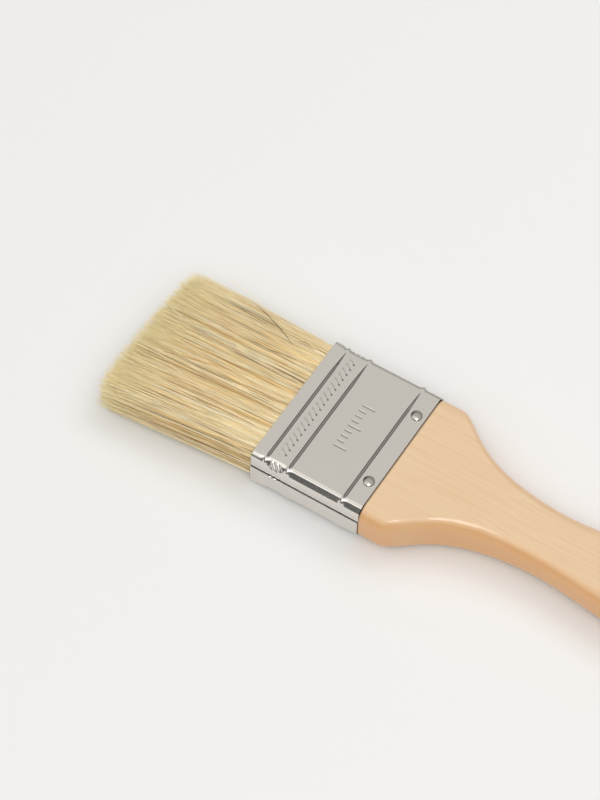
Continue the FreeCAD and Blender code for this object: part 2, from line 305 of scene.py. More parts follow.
# where each starts and ends (along the brush, across it, height), its sideways bow, in millimetres, and tone
LOOSE_HAIRS = (
    ((-61, 16.2, 15.6), (-81, 23.6, 15.4), 0.7, 0.0),
    ((-57, 12.0, 15.5), (-76, 11.0, 15.3), -0.6, 0.0),
    ((-72, 22.5, 14.6), (-92, 27.6, 14.8), 0.4, 0.7),
    ((-66, -17.0, 14.9), (-101, -25.6, 13.4), -0.9, 0.5),
    ((-82, -12.0, 14.6), (-103, -6.5, 13.6), 0.8, 0.9),
    ((-76, -3.0, 14.9), (-102, -9.0, 13.8), 0.5, 0.03),
    ((-84, 6.0, 14.6), (-104, 9.5, 13.6), -0.5, 0.95),
    ((-70, -22.0, 14.0), (-97, -23.5, 13.0), 1.0, 0.08),
)
points, faces, tones, reaches = [], [], [], []
for start, end, bow, hair_tone in LOOSE_HAIRS:
    start, end = Vector(start) * MM, Vector(end) * MM
    aside = (end - start).cross(Vector((0, 0, 1))).normalized()
    for k in range(LOOSE_POINTS):
        t = k / (LOOSE_POINTS - 1)
        middle = start.lerp(end, t) + aside * bow * MM * math.sin(math.pi * t)
        thickness = LOOSE_RADIUS * min(1.0, LOOSE_END + LOOSE_TAPER * min(t, 1 - t))
        for turn in range(LOOSE_SIDES):
            angle = 2 * math.pi * turn / LOOSE_SIDES
            rim = aside * math.cos(angle) + Vector((0, 0, math.sin(angle)))
            points.append(middle + rim * thickness)
            tones.append(hair_tone)
            reaches.append(t * LOOSE_REACH)
    first = len(points) - LOOSE_POINTS * LOOSE_SIDES
    for k in range(LOOSE_POINTS - 1):
        row = first + k * LOOSE_SIDES
        for turn in range(LOOSE_SIDES):
            a, b = row + turn, row + (turn + 1) % LOOSE_SIDES
            faces.append((a, a + LOOSE_SIDES, b + LOOSE_SIDES, b))
    faces.append(tuple(range(first, first + LOOSE_SIDES)))
    faces.append(tuple(range(len(points) - LOOSE_SIDES, len(points)))[::-1])
mesh = bpy.data.meshes.new("loose_hairs")
mesh.from_pydata(points, [], faces)
mesh.attributes.new("tone", "FLOAT", "POINT").data.foreach_set("value", tones)
mesh.attributes.new("reach", "FLOAT", "POINT").data.foreach_set("value", reaches)
mesh.materials.append(bristle_material)
loose = show(bpy.data.objects.new("loose_hairs", mesh))
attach(loose, "root")

# ================================================================ resin and plugs
# A cast block of amber epoxy holds the roots. Two thin bare-wood strips part the rows inside the mouth and
# open the pockets that carry egg wash or butter. Both stay as they are and only get their finish.

RESIN_CLOUD = 3.85  # sizes of the patterns' cells, in millimetres along, across and up
PLUG_GRAIN = (11.1, 40, 1.43)


def cells(*sizes):
    """The scales that give a pattern cells of these sizes, in millimetres."""
    return tuple(1000 / size for size in sizes)


# Cast epoxy: a smooth, glossy block of amber, clouded darker where the roots soaked it up.
resin_material, tree, shader = new_material("cast_amber_epoxy")
place = add(tree, "ShaderNodeTexCoord").node.outputs["Object"]
cloud = add(tree, "ShaderNodeTexNoise", place, None, *cells(RESIN_CLOUD), 3.0, 0.6)
amber = add(tree, "ShaderNodeMix", cloud, colour("#7A4A1C"), colour("#B07A35"), data_type="RGBA")
tree.links.new(amber, shader.inputs["Base Color"])
shader.inputs["Roughness"].default_value = 0.25
nodes["resin_setting"].data.materials.clear()
nodes["resin_setting"].data.materials.append(resin_material)

# Sawn lime wood without a finish: pale and dull, with fine straight grain along the strip.
plug_material, tree, shader = new_material("bare_lime_wood")
place = add(tree, "ShaderNodeTexCoord").node.outputs["Object"]
grain = add(tree, "ShaderNodeMapping", place, None, None, cells(*PLUG_GRAIN))
grain = add(tree, "ShaderNodeTexNoise", grain, None, 1.0, 3.0, 0.55)
grain = add(tree, "ShaderNodeMix", grain, colour("#B98F5C"), colour("#DDBC8A"), data_type="RGBA")
tree.links.new(grain, shader.inputs["Base Color"])
shader.inputs["Roughness"].default_value = 0.75
for name in ("plug_front", "plug_back"):
    nodes[name].data.materials.clear()
    nodes[name].data.materials.append(plug_material)

# ================================================================ ferrule
# A strip of bright tinplate wrapped once round the brush and lapped on its near narrow side. Three beads
# are pressed in across each face, and a rolled rope band and a short scale of marks are pressed beside them.
# At each corner the sheet is pressed to a slanted flat that pinches to a round knuckle at every bead.

HEEL_X = -12 * MM
HALF_WIDTH = 25.4 * MM
HALF_DEPTH = 7.5 * MM
SHEET = 0.4 * MM
LAP = 0.45 * MM  # how far the inner layer of the lap lies inside the outer one
LAP_EDGE_OUTER = 1.3 * MM
# width and fade of the painted shade in the gap above the lap's outer edge
SEAM_SHADE_WIDTH = 0.24 * MM
SEAM_SHADE_FADE = 0.12 * MM
BEADS = (-18.4 * MM, -37.6 * MM, -45.4 * MM)
BEAD_REACH = 1.5 * MM
BEAD_DEPTH = 0.45 * MM
BEAD_WIDTH = 1.15 * MM
BEAD_NEAR_END = -23.3 * MM
BEAD_FAR_END = 22.6 * MM
BEAD_NEAR_START = 0.2 * MM
BEAD_NEAR_TAPER = 1.4 * MM
BEAD_FAR_TAPER = 9.0 * MM
BEAD_FAR_POWER = 0.7
BEAD_END_WIDTH = 0.15  # of the full width
BEAD_DEEPENING = 1.6  # the depth is full before the width is
BEAD_WALL = 0.42 * MM
LIP_HEIGHT = 0.05 * MM  # the sheet swells a little beside each bead
LIP_OFFSET = 0.18 * MM
LIP_SPREAD = 0.16 * MM
# the pressed corner, as distances in from the narrow side and down from the face
CORNER_CREASE = (2.45 * MM, 0)
CORNER_RIDGE = (1.5 * MM, 0.42 * MM)
CORNER_FOOT = (0.3 * MM, 2.05 * MM)
CORNER_END = (0, 2.8 * MM)
CORNER_REACH = 3.6 * MM
CORNER_ROUNDING = 0.22 * MM
CORNER_POINTS = 34
ROUND_START = MOUTH_X + 4.4 * MM  # from the last bead to the mouth the corner turns round again
ROUND_FULL = MOUTH_X + 2.4 * MM
KNUCKLE_RADIUS = 2.2 * MM
KNUCKLE_HALF_LENGTH = 0.85 * MM
KNUCKLE_STEPS = 40
KNUCKLE_SWELL = 0.05 * MM
KNUCKLE_SWELL_LENGTH = 0.45 * MM
CREASE_SHADE_SPREAD = 0.14 * MM
CREASE_SHADE_CLEAR = (1.0 * MM, 1.8 * MM)  # how near a bead the crease's painted shade fades out
ROPE_START = -40.9 * MM
ROPE_END = -43.7 * MM
ROPE_PITCH = 2.18 * MM
ROPE_SLANT = 2.2 / 2.8
ROPE_HEIGHT = 0.24 * MM
ROPE_HALF_SPAN = 21.0 * MM
ROPE_FADE_IN = (-0.05 * MM, 0.25 * MM)
ROPE_FADE_OUT = 1.2 * MM
ROPE_FADE_SIDE = 0.8 * MM
STROKE_RISE = (0.0, 0.12)  # shares of the pitch: each stroke has a steep side and a long one
STROKE_FALL = (0.14, 0.4)
DOT_RADIUS = 0.26 * MM
DOT_DEPTH = 0.15 * MM
FOLD_PITCH = 1.7 * MM  # the sheet crumples where the rope band meets a corner
FOLD_HEIGHT = 0.13 * MM
FOLD_SLANT = 0.9
FOLD_CLEAR = (1.2 * MM, 2.2 * MM)
MARKS = 9
MARK_PITCH = 2.1 * MM
MARK_WIDTH = 0.6 * MM
MARK_DEPTH = 0.15 * MM
MARK_START = -31.0 * MM
MARK_LONG = 4.6 * MM
MARK_SHORT = 2.6 * MM
MARKS_PER_LONG = 4
MARK_END = 0.25 * MM
MARK_WALL = 0.15 * MM
# how dark the pressed lines, crease, seam gap and inner side are painted: painted shade, with real dirt in
# the beads as well
BEAD_DIRT_AND_SHADE = 0.52  # how dark each bead is painted: some dirt, and painted shade in the groove
BEAD_DIRT_AND_SHADE_EDGE = (0.05 * MM, 0.2 * MM)
DOT_SHADE = 0.9
DOT_SHADE_SPREAD = 1.5
MARK_SHADE = 0.5
CREASE_SHADE = 0.45
INSIDE_SHADE = 0.3


def smooth(values, low, high):
    """0 below low, 1 above high and an even curve between them."""
    t = np.clip((values - low) / (high - low), 0, 1)
    return t * t * (3 - 2 * t)


def polyline(points, count):
    """count points evenly along the line through the given ones."""
    points = np.asarray(points, float)
    run = np.concatenate([[0], np.cumsum(np.linalg.norm(np.diff(points, axis=0), axis=1))])
    at = np.linspace(0, run[-1], count)
    return np.stack([np.interp(at, run, points[:, k]) for k in range(2)], 1)


def rounded(points, radius, steps=9):
    """The line through the points, with an arc of that radius at each inner one."""
    points = [np.asarray(p, float) for p in points]
    made = [points[0]]
    for before, corner, after in zip(points, points[1:], points[2:]):
        first = (before - corner) / np.linalg.norm(before - corner)
        second = (after - corner) / np.linalg.norm(after - corner)
        half = math.acos(np.clip(first @ second, -1, 1)) / 2
        back = min(radius / math.tan(half), 0.45 * np.linalg.norm(before - corner))
        for t in np.linspace(0, 1, steps):
            made.append(corner + first * back * (1 - t) ** 2 + second * back * t**2)
    return made + [points[-1]]


# The corner as pressed to a slanted flat, and as the round knuckle beside a bead.
slant = [(CORNER_REACH, 0), CORNER_CREASE, CORNER_RIDGE, CORNER_FOOT, CORNER_END, (0, CORNER_REACH)]
flat_corner = polyline(rounded(slant, CORNER_ROUNDING), CORNER_POINTS)
round_line = [(CORNER_REACH, 0)]
for turn in np.linspace(0, math.pi / 2, KNUCKLE_STEPS):
    round_line.append((KNUCKLE_RADIUS * (1 - math.sin(turn)), KNUCKLE_RADIUS * (1 - math.cos(turn))))
round_corner = polyline(round_line + [(0, CORNER_REACH)], CORNER_POINTS)

# Stations along the ferrule are close together where something is pressed.
BEAD_STEP = 0.12 * MM
ROPE_STEP = 0.17 * MM
MARK_STEP = 0.25 * MM
PLAIN_STEP = 0.5 * MM
LAST_STEP = 0.05 * MM
ROPE_ZONE = (ROPE_END - 0.4 * MM, ROPE_START + 0.5 * MM)
MARK_ZONE = (MARK_START - 0.5 * MM, MARK_START + 5.5 * MM)
stations = [MOUTH_X]
while stations[-1] < HEEL_X - LAST_STEP:
    x = stations[-1]
    step = PLAIN_STEP
    if min(abs(x - bead) for bead in BEADS) < BEAD_REACH:
        step = BEAD_STEP
    elif ROPE_ZONE[0] < x < ROPE_ZONE[1]:
        step = ROPE_STEP
    elif MARK_ZONE[0] < x < MARK_ZONE[1]:
        step = MARK_STEP
    stations.append(min(x + step, HEEL_X))
stations = np.array(stations)

# Points across each part of the section, from -1 to 1, closest in the middle of the marked face.
MARKED_SHARE = 0.45
MARKED_POINTS = 150
OUTSIDE_POINTS = 62
BACK_POINTS = 146
SIDE_POINTS = 6
front_line = np.concatenate(
    [
        np.linspace(-1, -MARKED_SHARE, OUTSIDE_POINTS)[:-1],
        np.linspace(-MARKED_SHARE, MARKED_SHARE, MARKED_POINTS),
        np.linspace(MARKED_SHARE, 1, OUTSIDE_POINTS)[1:],
    ]
)
back_line = np.linspace(1, -1, BACK_POINTS)
side_line = np.linspace(1, -1, SIDE_POINTS)
# heights of the two layers of the lap, and how far the outer one is tucked in at its edge
inner_lap = np.array([-2.5, 0.0, 1.1, 1.3, 1.45, 1.6, 1.75, 2.0, 2.6, 3.6]) * MM
outer_lap = np.array([-3.6, -1.5, 0.3, 0.7, 0.95, 1.1, 1.22, 1.3]) * MM
outer_lap_inset = np.array([0, 0, 0, 0, 0.02, 0.06, 0.13, 0.24]) * MM


def ferrule_section(x):
    """The strip's outer line at station x, once round from the lap, as places across and up."""
    pinch = max(math.exp(-(((x - bead) / KNUCKLE_HALF_LENGTH) ** 2)) for bead in BEADS)
    share = max(pinch, smooth(-x, -ROUND_START, -ROUND_FULL))
    corner = flat_corner * (1 - share) + round_corner * share
    face_half = HALF_WIDTH - CORNER_REACH
    side_half = HALF_DEPTH - CORNER_REACH
    across, up = corner[1:-1, 0], corner[1:-1, 1]
    near_in = HALF_WIDTH - LAP
    front = -LAP / 2 + front_line * (face_half - LAP / 2) + LAP
    parts = [
        (np.full(len(inner_lap), -near_in), inner_lap),
        (-near_in + across[::-1], HALF_DEPTH - up[::-1]),
        (front, np.full(len(front), HALF_DEPTH)),
        (HALF_WIDTH - across, HALF_DEPTH - up),
        (np.full(len(side_line), HALF_WIDTH), side_half * side_line),
        (HALF_WIDTH - across[::-1], -HALF_DEPTH + up[::-1]),
        (face_half * back_line, np.full(len(back_line), -HALF_DEPTH)),
        (-HALF_WIDTH + across, -HALF_DEPTH + up),
        (-HALF_WIDTH + outer_lap_inset, outer_lap),
    ]
    return np.concatenate([p[0] for p in parts]), np.concatenate([p[1] for p in parts])


def press_beads(x, y):
    """How far the beads raise the face at x, y, which is less than zero inside them, and their dirt and
    painted shade.
    """
    height, dirt_and_shade = np.zeros_like(x), np.zeros_like(x)
    near, far = y - BEAD_NEAR_END, BEAD_FAR_END - y
    far_share = np.clip(far / BEAD_FAR_TAPER, 0, 1) ** BEAD_FAR_POWER
    fullness = np.minimum(smooth(near, -BEAD_NEAR_START, BEAD_NEAR_TAPER), far_share)
    for bead in BEADS:
        width = BEAD_WIDTH / 2 * (BEAD_END_WIDTH + (1 - BEAD_END_WIDTH) * fullness)
        inside = width - np.abs(x - bead)
        pressed = smooth(inside, 0, np.minimum(BEAD_WALL, width)) * (fullness > 0)
        height -= BEAD_DEPTH * np.minimum(fullness * BEAD_DEEPENING, 1) * pressed
        # the beads are painted darker, partly for dirt and partly as painted shade in the groove
        dirt_and_shade = np.maximum(dirt_and_shade, BEAD_DIRT_AND_SHADE * smooth(inside, *BEAD_DIRT_AND_SHADE_EDGE) * (fullness > 0))
        lip = np.exp(-(((x - bead - width - LIP_OFFSET) / LIP_SPREAD) ** 2))
        height += LIP_HEIGHT * lip * fullness
    return height, dirt_and_shade


def press_rope(x, y):
    """How far the rope band's slanted strokes and its row of dots raise the face at x, y, and the painted
    shade in the dots.
    """
    along = ROPE_START - x
    phase = 1 - ((y - along * ROPE_SLANT) / ROPE_PITCH) % 1.0
    stroke = smooth(phase, *STROKE_RISE) * (1 - smooth(phase, *STROKE_FALL))
    band = smooth(along, *ROPE_FADE_IN) * smooth(ROPE_START - ROPE_END - along, 0, ROPE_FADE_OUT)
    band = band * smooth(ROPE_HALF_SPAN - np.abs(y), 0, ROPE_FADE_SIDE)
    dot_y = np.round(y / ROPE_PITCH) * ROPE_PITCH
    dot = np.exp(-(((x - ROPE_START) ** 2 + (y - dot_y) ** 2) / DOT_RADIUS**2))
    dot = dot * (np.abs(y) < ROPE_HALF_SPAN)
    # painted shade: the pits of the dots are painted dark
    return ROPE_HEIGHT * stroke * band - DOT_DEPTH * dot, DOT_SHADE * np.minimum(dot * DOT_SHADE_SPREAD, 1)


def press_marks(x, y):
    """How far the scale of marks lowers the face at x, y, as a height, and the painted shade in them."""
    height, dirt_and_shade = np.zeros_like(x), np.zeros_like(x)
    for mark in range(MARKS):
        mark_length = MARK_SHORT if mark % MARKS_PER_LONG else MARK_LONG
        off = np.abs(y - (mark - MARKS // 2) * MARK_PITCH)
        ends = smooth(x - MARK_START, 0, MARK_END) * smooth(MARK_START + mark_length - x, 0, MARK_END)
        groove = smooth(MARK_WIDTH / 2 - off, 0, MARK_WALL) * ends
        height -= MARK_DEPTH * groove
        # painted shade: the pressed marks are painted darker
        dirt_and_shade = np.maximum(dirt_and_shade, MARK_SHADE * groove)
    return height, dirt_and_shade


def relief(x, y, pressings):
    """How far these pressings together raise a face at x, y, and the dirt and painted shade in them."""
    pressed = [press(x, y) for press in pressings]
    return sum(height for height, _ in pressed), np.max([dirt_and_shade for _, dirt_and_shade in pressed], axis=0)


FACE_SPARE = 0.01 * MM
INNER_STRIDE = 9  # the strip's inner side is plain, so it has fewer stations
sections = [ferrule_section(x) for x in stations]
across = np.array([s[0] for s in sections])
up = np.array([s[1] for s in sections])
columns = across.shape[1]
along_grid = np.repeat(stations[:, None], columns, 1)
d_across, d_up = np.gradient(across, axis=1), np.gradient(up, axis=1)
length = np.hypot(d_across, d_up)
normal_across, normal_up = -d_up / length, d_across / length
on_front, on_back = up > HALF_DEPTH - FACE_SPARE, up < -HALF_DEPTH + FACE_SPARE
raised, dirt_and_shade = np.zeros_like(across), np.zeros_like(across)
for face, pressings in (
    (on_front, (press_beads, press_rope, press_marks)),
    (on_back, (press_beads, press_rope)),
):
    raised[face], dirt_and_shade[face] = relief(along_grid[face], across[face], pressings)

# at the corners the sheet swells on each knuckle and crumples beside the rope band
corner_zone = (np.abs(normal_across) > 0.05) & (np.abs(normal_up) > 0.05)
slant_zone = corner_zone & (np.abs(normal_across) > 0.5) & (np.abs(normal_up) > 0.3)
for bead in BEADS:
    swell = np.exp(-(((along_grid - bead) / KNUCKLE_SWELL_LENGTH) ** 2))
    raised += KNUCKLE_SWELL * swell * corner_zone
fold = np.sin(2 * math.pi * (along_grid - ROPE_START + FOLD_SLANT * (up - HALF_DEPTH)) / FOLD_PITCH)
fold_band = smooth(along_grid - BEADS[2], *FOLD_CLEAR) * smooth(BEADS[1] - along_grid, *FOLD_CLEAR)
raised += FOLD_HEIGHT * fold * fold_band * slant_zone * (up > 0)

# painted shade darkens the near crease, clear of the beads, and the gap along the lap's seam
# painted shade: a thin dark line is painted along the near crease
from_crease = np.abs(across) - HALF_WIDTH + CORNER_CREASE[0]
crease_shade = np.exp(-((from_crease / CREASE_SHADE_SPREAD) ** 2)) * (up > 0) * (across < 0)
near_bead = np.min([np.abs(along_grid - bead) for bead in BEADS], axis=0)
crease_shade = crease_shade * smooth(near_bead, *CREASE_SHADE_CLEAR) * (along_grid > BEADS[1])
dirt_and_shade = np.maximum(dirt_and_shade, CREASE_SHADE * crease_shade)
# painted shade: a dark line is painted in the gap just above the outer layer's edge
seam_shade = np.zeros_like(across)
seam_shade[:, : len(inner_lap)] = smooth(LAP_EDGE_OUTER + SEAM_SHADE_WIDTH - inner_lap, 0, SEAM_SHADE_FADE)
dirt_and_shade = np.maximum(dirt_and_shade, seam_shade)

# the outer side carries the relief, and the inner side follows only what is pressed in
outer = np.stack([along_grid, across + normal_across * raised, up + normal_up * raised], -1)
inner_rows = sorted({0, len(stations) - 1} | set(range(0, len(stations), INNER_STRIDE)))
dent = np.minimum(raised, 0)
inner = np.stack(
    [along_grid, across + normal_across * (dent - SHEET), up + normal_up * (dent - SHEET)], -1
)[inner_rows]
points = np.concatenate([outer.reshape(-1, 3), inner.reshape(-1, 3)])
points[:, 2] += MID_HEIGHT


def grid_faces(rows, cols, start, flip):
    """Quads of a grid of points that are numbered in row order from start."""
    r, c = np.meshgrid(np.arange(rows - 1), np.arange(cols - 1), indexing="ij")
    a = start + r * cols + c
    quads = np.stack([a, a + 1, a + cols + 1, a + cols], -1).reshape(-1, 4)
    return quads[:, ::-1] if flip else quads


inner_start = len(stations) * columns
faces = [
    grid_faces(len(stations), columns, 0, True),
    grid_faces(len(inner_rows), columns, inner_start, False),
]
last_outer, last_inner = (len(stations) - 1) * columns, inner_start + (len(inner_rows) - 1) * columns
c = np.arange(columns - 1)
faces.append(np.stack([c, c + 1, inner_start + c + 1, inner_start + c], -1))
faces.append(np.stack([last_outer + c + 1, last_outer + c, last_inner + c, last_inner + c + 1], -1))
faces = np.concatenate(faces).tolist()
for edge in (0, columns - 1):
    outer_edge = [row * columns + edge for row in range(len(stations))]
    inner_edge = [inner_start + row * columns + edge for row in range(len(inner_rows))]
    for place, (first, last) in enumerate(zip(inner_rows, inner_rows[1:])):
        rim = outer_edge[first : last + 1] + [inner_edge[place + 1], inner_edge[place]]
        faces.append(rim[::-1] if edge == 0 else rim)

# Bright tin over steel: a soft mirror, clouded by handling, with faint rolling lines. The pressed lines,
# corner crease, seam and inner side are painted dark as shade, with some dirt in the beads too. Real rolling
# lines are finer, and these are drawn coarse enough to show.
TIN_ROLLING = (25, 0.3846, 0.3846)
TIN_CLOUD = 7.143
tin_material, tree, shader = new_material("pressed_tinplate")
place = add(tree, "ShaderNodeTexCoord").node.outputs["Object"]
rolling = add(tree, "ShaderNodeMapping", place, None, None, cells(*TIN_ROLLING))
rolling = add(tree, "ShaderNodeTexNoise", rolling, None, 1.0, 2.0, 0.5)
cloud = add(tree, "ShaderNodeTexNoise", place, None, *cells(TIN_CLOUD), 3.0, 0.6)
tin = add(tree, "ShaderNodeMix", cloud, colour("#DAD6D0"), colour("#E9E6E1"), data_type="RGBA")
dirt_and_shade_there = add(tree, "ShaderNodeAttribute", attribute_name="dirt_and_shade").node.outputs["Fac"]
# the tin is mixed toward near black by the painted shade and dirt attribute
tin = add(tree, "ShaderNodeMix", dirt_and_shade_there, tin, colour("#3E3B36"), data_type="RGBA")
tree.links.new(tin, shader.inputs["Base Color"])
shader.inputs["Metallic"].default_value = 1.0
rough = add(tree, "ShaderNodeMapRange", rolling, 0.3, 0.7, 0.16, 0.26)
tree.links.new(rough, shader.inputs["Roughness"])


def solid_piece(name, points, faces, material):
    """A piece of one material from its points and faces, shaded smooth."""
    mesh = bpy.data.meshes.new(name)
    mesh.from_pydata(points.tolist(), [], faces)
    mesh.materials.append(material)
    mesh.validate()
    mesh.shade_smooth()
    return show(bpy.data.objects.new(name, mesh))


ferrule = solid_piece("ferrule_strip", points, faces, tin_material)
# painted shade: the strip's inner side is painted evenly darker
dirt_and_shade = np.concatenate([dirt_and_shade.reshape(-1), np.full(len(inner_rows) * columns, INSIDE_SHADE)])
dirt_and_shade = dirt_and_shade.astype(np.float32)
ferrule.data.attributes.new("dirt_and_shade", "FLOAT", "POINT").data.foreach_set("value", dirt_and_shade)
ferrule.data.set_sharp_from_angle(angle=math.radians(50))
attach(ferrule, "root")
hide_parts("ferrule")

# ================================================================ handle
# One piece of pale beech: a tenon inside the ferrule, a shoulder with the blank's big rounding, a neck cut
# in by two concave curves and a grip with a hanging hole. It is sanded and dipped in clear lacquer.

END_X = 105 * MM
TENON_X = -27 * MM
TENON_HALF_WIDTH = 24.4 * MM
TENON_HALF_DEPTH = 6.95 * MM
TENON_CORNER = 5.2 * MM
TENON_END = HEEL_X - 0.02 * MM
GROOVE_DEPTH = 0.5 * MM  # a groove round the tenon takes the first bead
GROOVE_REACH = 0.8 * MM
GROOVE_CLEAR = 1.0 * MM
BLANK_HALF_WIDTH = 25.4 * MM
BLANK_HALF_DEPTH = 7.3 * MM
BLANK_CORNER = 4.6 * MM
JOINT_GAP = 0.1 * MM
JOINT_ROUNDING = 0.35 * MM
CORNER_SOFTENING = 0.3 * MM
SOFTENED_TO = 9 * MM
BUTT = 27 * MM
BUTT_POWER = 2.4
BUTT_RINGS = 40
QUARTER = 52
QUARTER_TRIES = (700, 200)
TURN_WEIGHT = 0.35
HOLE_X = 92 * MM
HOLE_RADIUS = 3.5 * MM
HOLE_RIM = 1.6 * MM
HOLE_STRAIGHT = 5.2 * MM
HOLE_SIDES = 64
CUTTER_HALF = 12 * MM
THINNEST = 1e-5  # no ring shrinks to a point
FINEST_CORNER = 1e-6
# where the rings lie, as distances from the ferrule: from, to and step, in millimetres
RING_STEPS = ((0.8, 7.0, 0.6), (7.0, 8.4, 0.1), (8.4, 24, 0.4), (24, 90, 0.9))

# distance from the ferrule, half width, half depth and edge radius, in millimetres
GRIP = np.array(
    [
        (7.6, 25.4, 7.7, 4.8),
        (10.5, 24.0, 7.7, 4.8),
        (14.0, 21.4, 7.7, 4.8),
        (20.0, 17.0, 7.7, 4.8),
        (27.0, 13.6, 7.6, 4.8),
        (35.0, 11.4, 7.2, 4.6),
        (44.0, 10.4, 6.5, 4.6),
        (54.0, 10.2, 6.1, 4.6),
        (66.0, 11.3, 6.2, 4.8),
        (80.0, 12.8, 6.6, 5.0),
        (90.0, 13.5, 6.8, 5.2),
    ]
)


def spline(places, values, at):
    """A natural cubic curve through the values, read at the given places."""
    gap = np.diff(places)
    size = len(places)
    system, right = np.eye(size), np.zeros(size)
    for k in range(1, size - 1):
        system[k, k - 1 : k + 2] = gap[k - 1], 2 * (gap[k - 1] + gap[k]), gap[k]
        right[k] = 6 * ((values[k + 1] - values[k]) / gap[k] - (values[k] - values[k - 1]) / gap[k - 1])
    curve = np.linalg.solve(system, right)
    k = np.clip(np.searchsorted(places, at) - 1, 0, size - 2)
    a, b = places[k + 1] - at, at - places[k]
    return (
        (curve[k] * a**3 + curve[k + 1] * b**3) / (6 * gap[k])
        + (values[k] / gap[k] - curve[k] * gap[k] / 6) * a
        + (values[k + 1] / gap[k] - curve[k + 1] * gap[k] / 6) * b
    )


def grip_size(distance):
    """Half width, half depth and edge radius at a distance from the ferrule, in metres."""
    at = np.clip(distance / MM, GRIP[0, 0], GRIP[-1, 0])
    sizes = [float(spline(GRIP[:, 0], GRIP[:, k], at)) * MM for k in (1, 2, 3)]
    past = distance - GRIP[-1, 0] * MM
    if past > 0:
        share = min(past / BUTT, 1.0)
        scale = max(1 - share**BUTT_POWER, 0.0) ** (1 / BUTT_POWER)
        sizes = [size * scale for size in sizes]
    return sizes


def radial(angle, width, depth, corner):
    """Distance from the middle to a rounded rectangle's edge, in the first quarter."""
    c, s = np.cos(angle), np.sin(angle)
    flat = np.minimum(width / np.maximum(c, 1e-9), depth / np.maximum(s, 1e-9))
    my, mz = width - corner, depth - corner
    along = c * my + s * mz
    reach = along**2 - (my**2 + mz**2 - corner**2)
    arc = along + np.sqrt(np.maximum(reach, 0))
    in_corner = (flat * c > my) & (flat * s > mz)
    return np.where(in_corner, arc, flat)


def quarter(width, depth, corner, clip):
    """Points of the first quarter of a section, closest where it turns most."""
    split = math.atan2(depth, width)
    low = np.linspace(0, split * 2, QUARTER_TRIES[0])
    high = np.linspace(split * 2, math.pi / 2, QUARTER_TRIES[1])
    angle = np.clip(np.unique(np.concatenate([low, high])), 0, math.pi / 2)
    size = radial(angle, width, depth, corner)
    if clip:
        size = np.minimum(size, radial(angle, BLANK_HALF_WIDTH, BLANK_HALF_DEPTH, BLANK_CORNER))
    y, z = size * np.cos(angle), size * np.sin(angle)
    step = np.hypot(np.diff(y), np.diff(z))
    heading = np.unwrap(np.arctan2(np.diff(z), np.diff(y)))
    turning = np.concatenate([[0], np.abs(np.diff(heading))])
    scale = max(width + depth, 1e-6)
    weight = np.concatenate([[0], np.cumsum(step / scale + turning * TURN_WEIGHT)])
    at = np.linspace(0, weight[-1], QUARTER)
    return np.interp(at, weight, y), np.interp(at, weight, z)


def whole_section(width, depth, corner, clip):
    """A closed section from its quarter, once round from the +Y side."""
    y, z = quarter(width, depth, corner, clip)
    ys = np.concatenate([y, -y[::-1][1:], -y[1:], y[::-1][1:-1]])
    zs = np.concatenate([z, z[::-1][1:], -z[1:], -z[::-1][1:-1]])
    return ys, zs


rings = []
for x in np.concatenate(
    [
        np.linspace(TENON_X, BEADS[0] - GROOVE_CLEAR, 6),
        np.linspace(BEADS[0] - GROOVE_REACH, BEADS[0] + GROOVE_REACH, 9),
        np.linspace(BEADS[0] + GROOVE_CLEAR, TENON_END, 6),
    ]
):
    groove = GROOVE_DEPTH * max(1 - ((x - BEADS[0]) / GROOVE_REACH) ** 2, 0)
    rings.append((x, *whole_section(TENON_HALF_WIDTH, TENON_HALF_DEPTH - groove, TENON_CORNER, False)))
distances = np.concatenate(
    [JOINT_ROUNDING * (1 - np.cos(np.linspace(0, math.pi / 2, 6)))]
    + [np.arange(first, last, step) * MM for first, last, step in RING_STEPS]
    + [GRIP[-1, 0] * MM + BUTT * np.sin(np.linspace(0, math.pi / 2, BUTT_RINGS))]
)
for distance in distances:
    width, depth, corner = grip_size(distance)
    if distance < SOFTENED_TO:
        around = np.linspace(distance - CORNER_SOFTENING, distance + CORNER_SOFTENING, 9)
        width = np.mean([grip_size(d)[0] for d in around])
    short = max(JOINT_ROUNDING - distance, 0)
    inset = JOINT_ROUNDING - math.sqrt(max(JOINT_ROUNDING**2 - short**2, 0))
    x = HEEL_X + JOINT_GAP + distance * (1 - JOINT_GAP / (END_X - HEEL_X))
    corner = max(corner, FINEST_CORNER)
    ys, zs = whole_section(max(width, THINNEST), max(depth, THINNEST), corner, True)
    shrink_y, shrink_z = 1 - inset / BLANK_HALF_WIDTH, 1 - inset / BLANK_HALF_DEPTH
    rings.append((x, ys * shrink_y, zs * shrink_z))

columns = len(rings[0][1])
points = np.concatenate([np.stack([np.full(columns, x), ys, zs + MID_HEIGHT], 1) for x, ys, zs in rings])
faces = []
c = np.arange(columns)
for row in range(len(rings) - 1):
    a, b = row * columns + c, row * columns + (c + 1) % columns
    faces += np.stack([a, b, b + columns, a + columns], 1).tolist()
faces.append(list(range(columns))[::-1])
faces.append(list(range((len(rings) - 1) * columns, len(rings) * columns)))

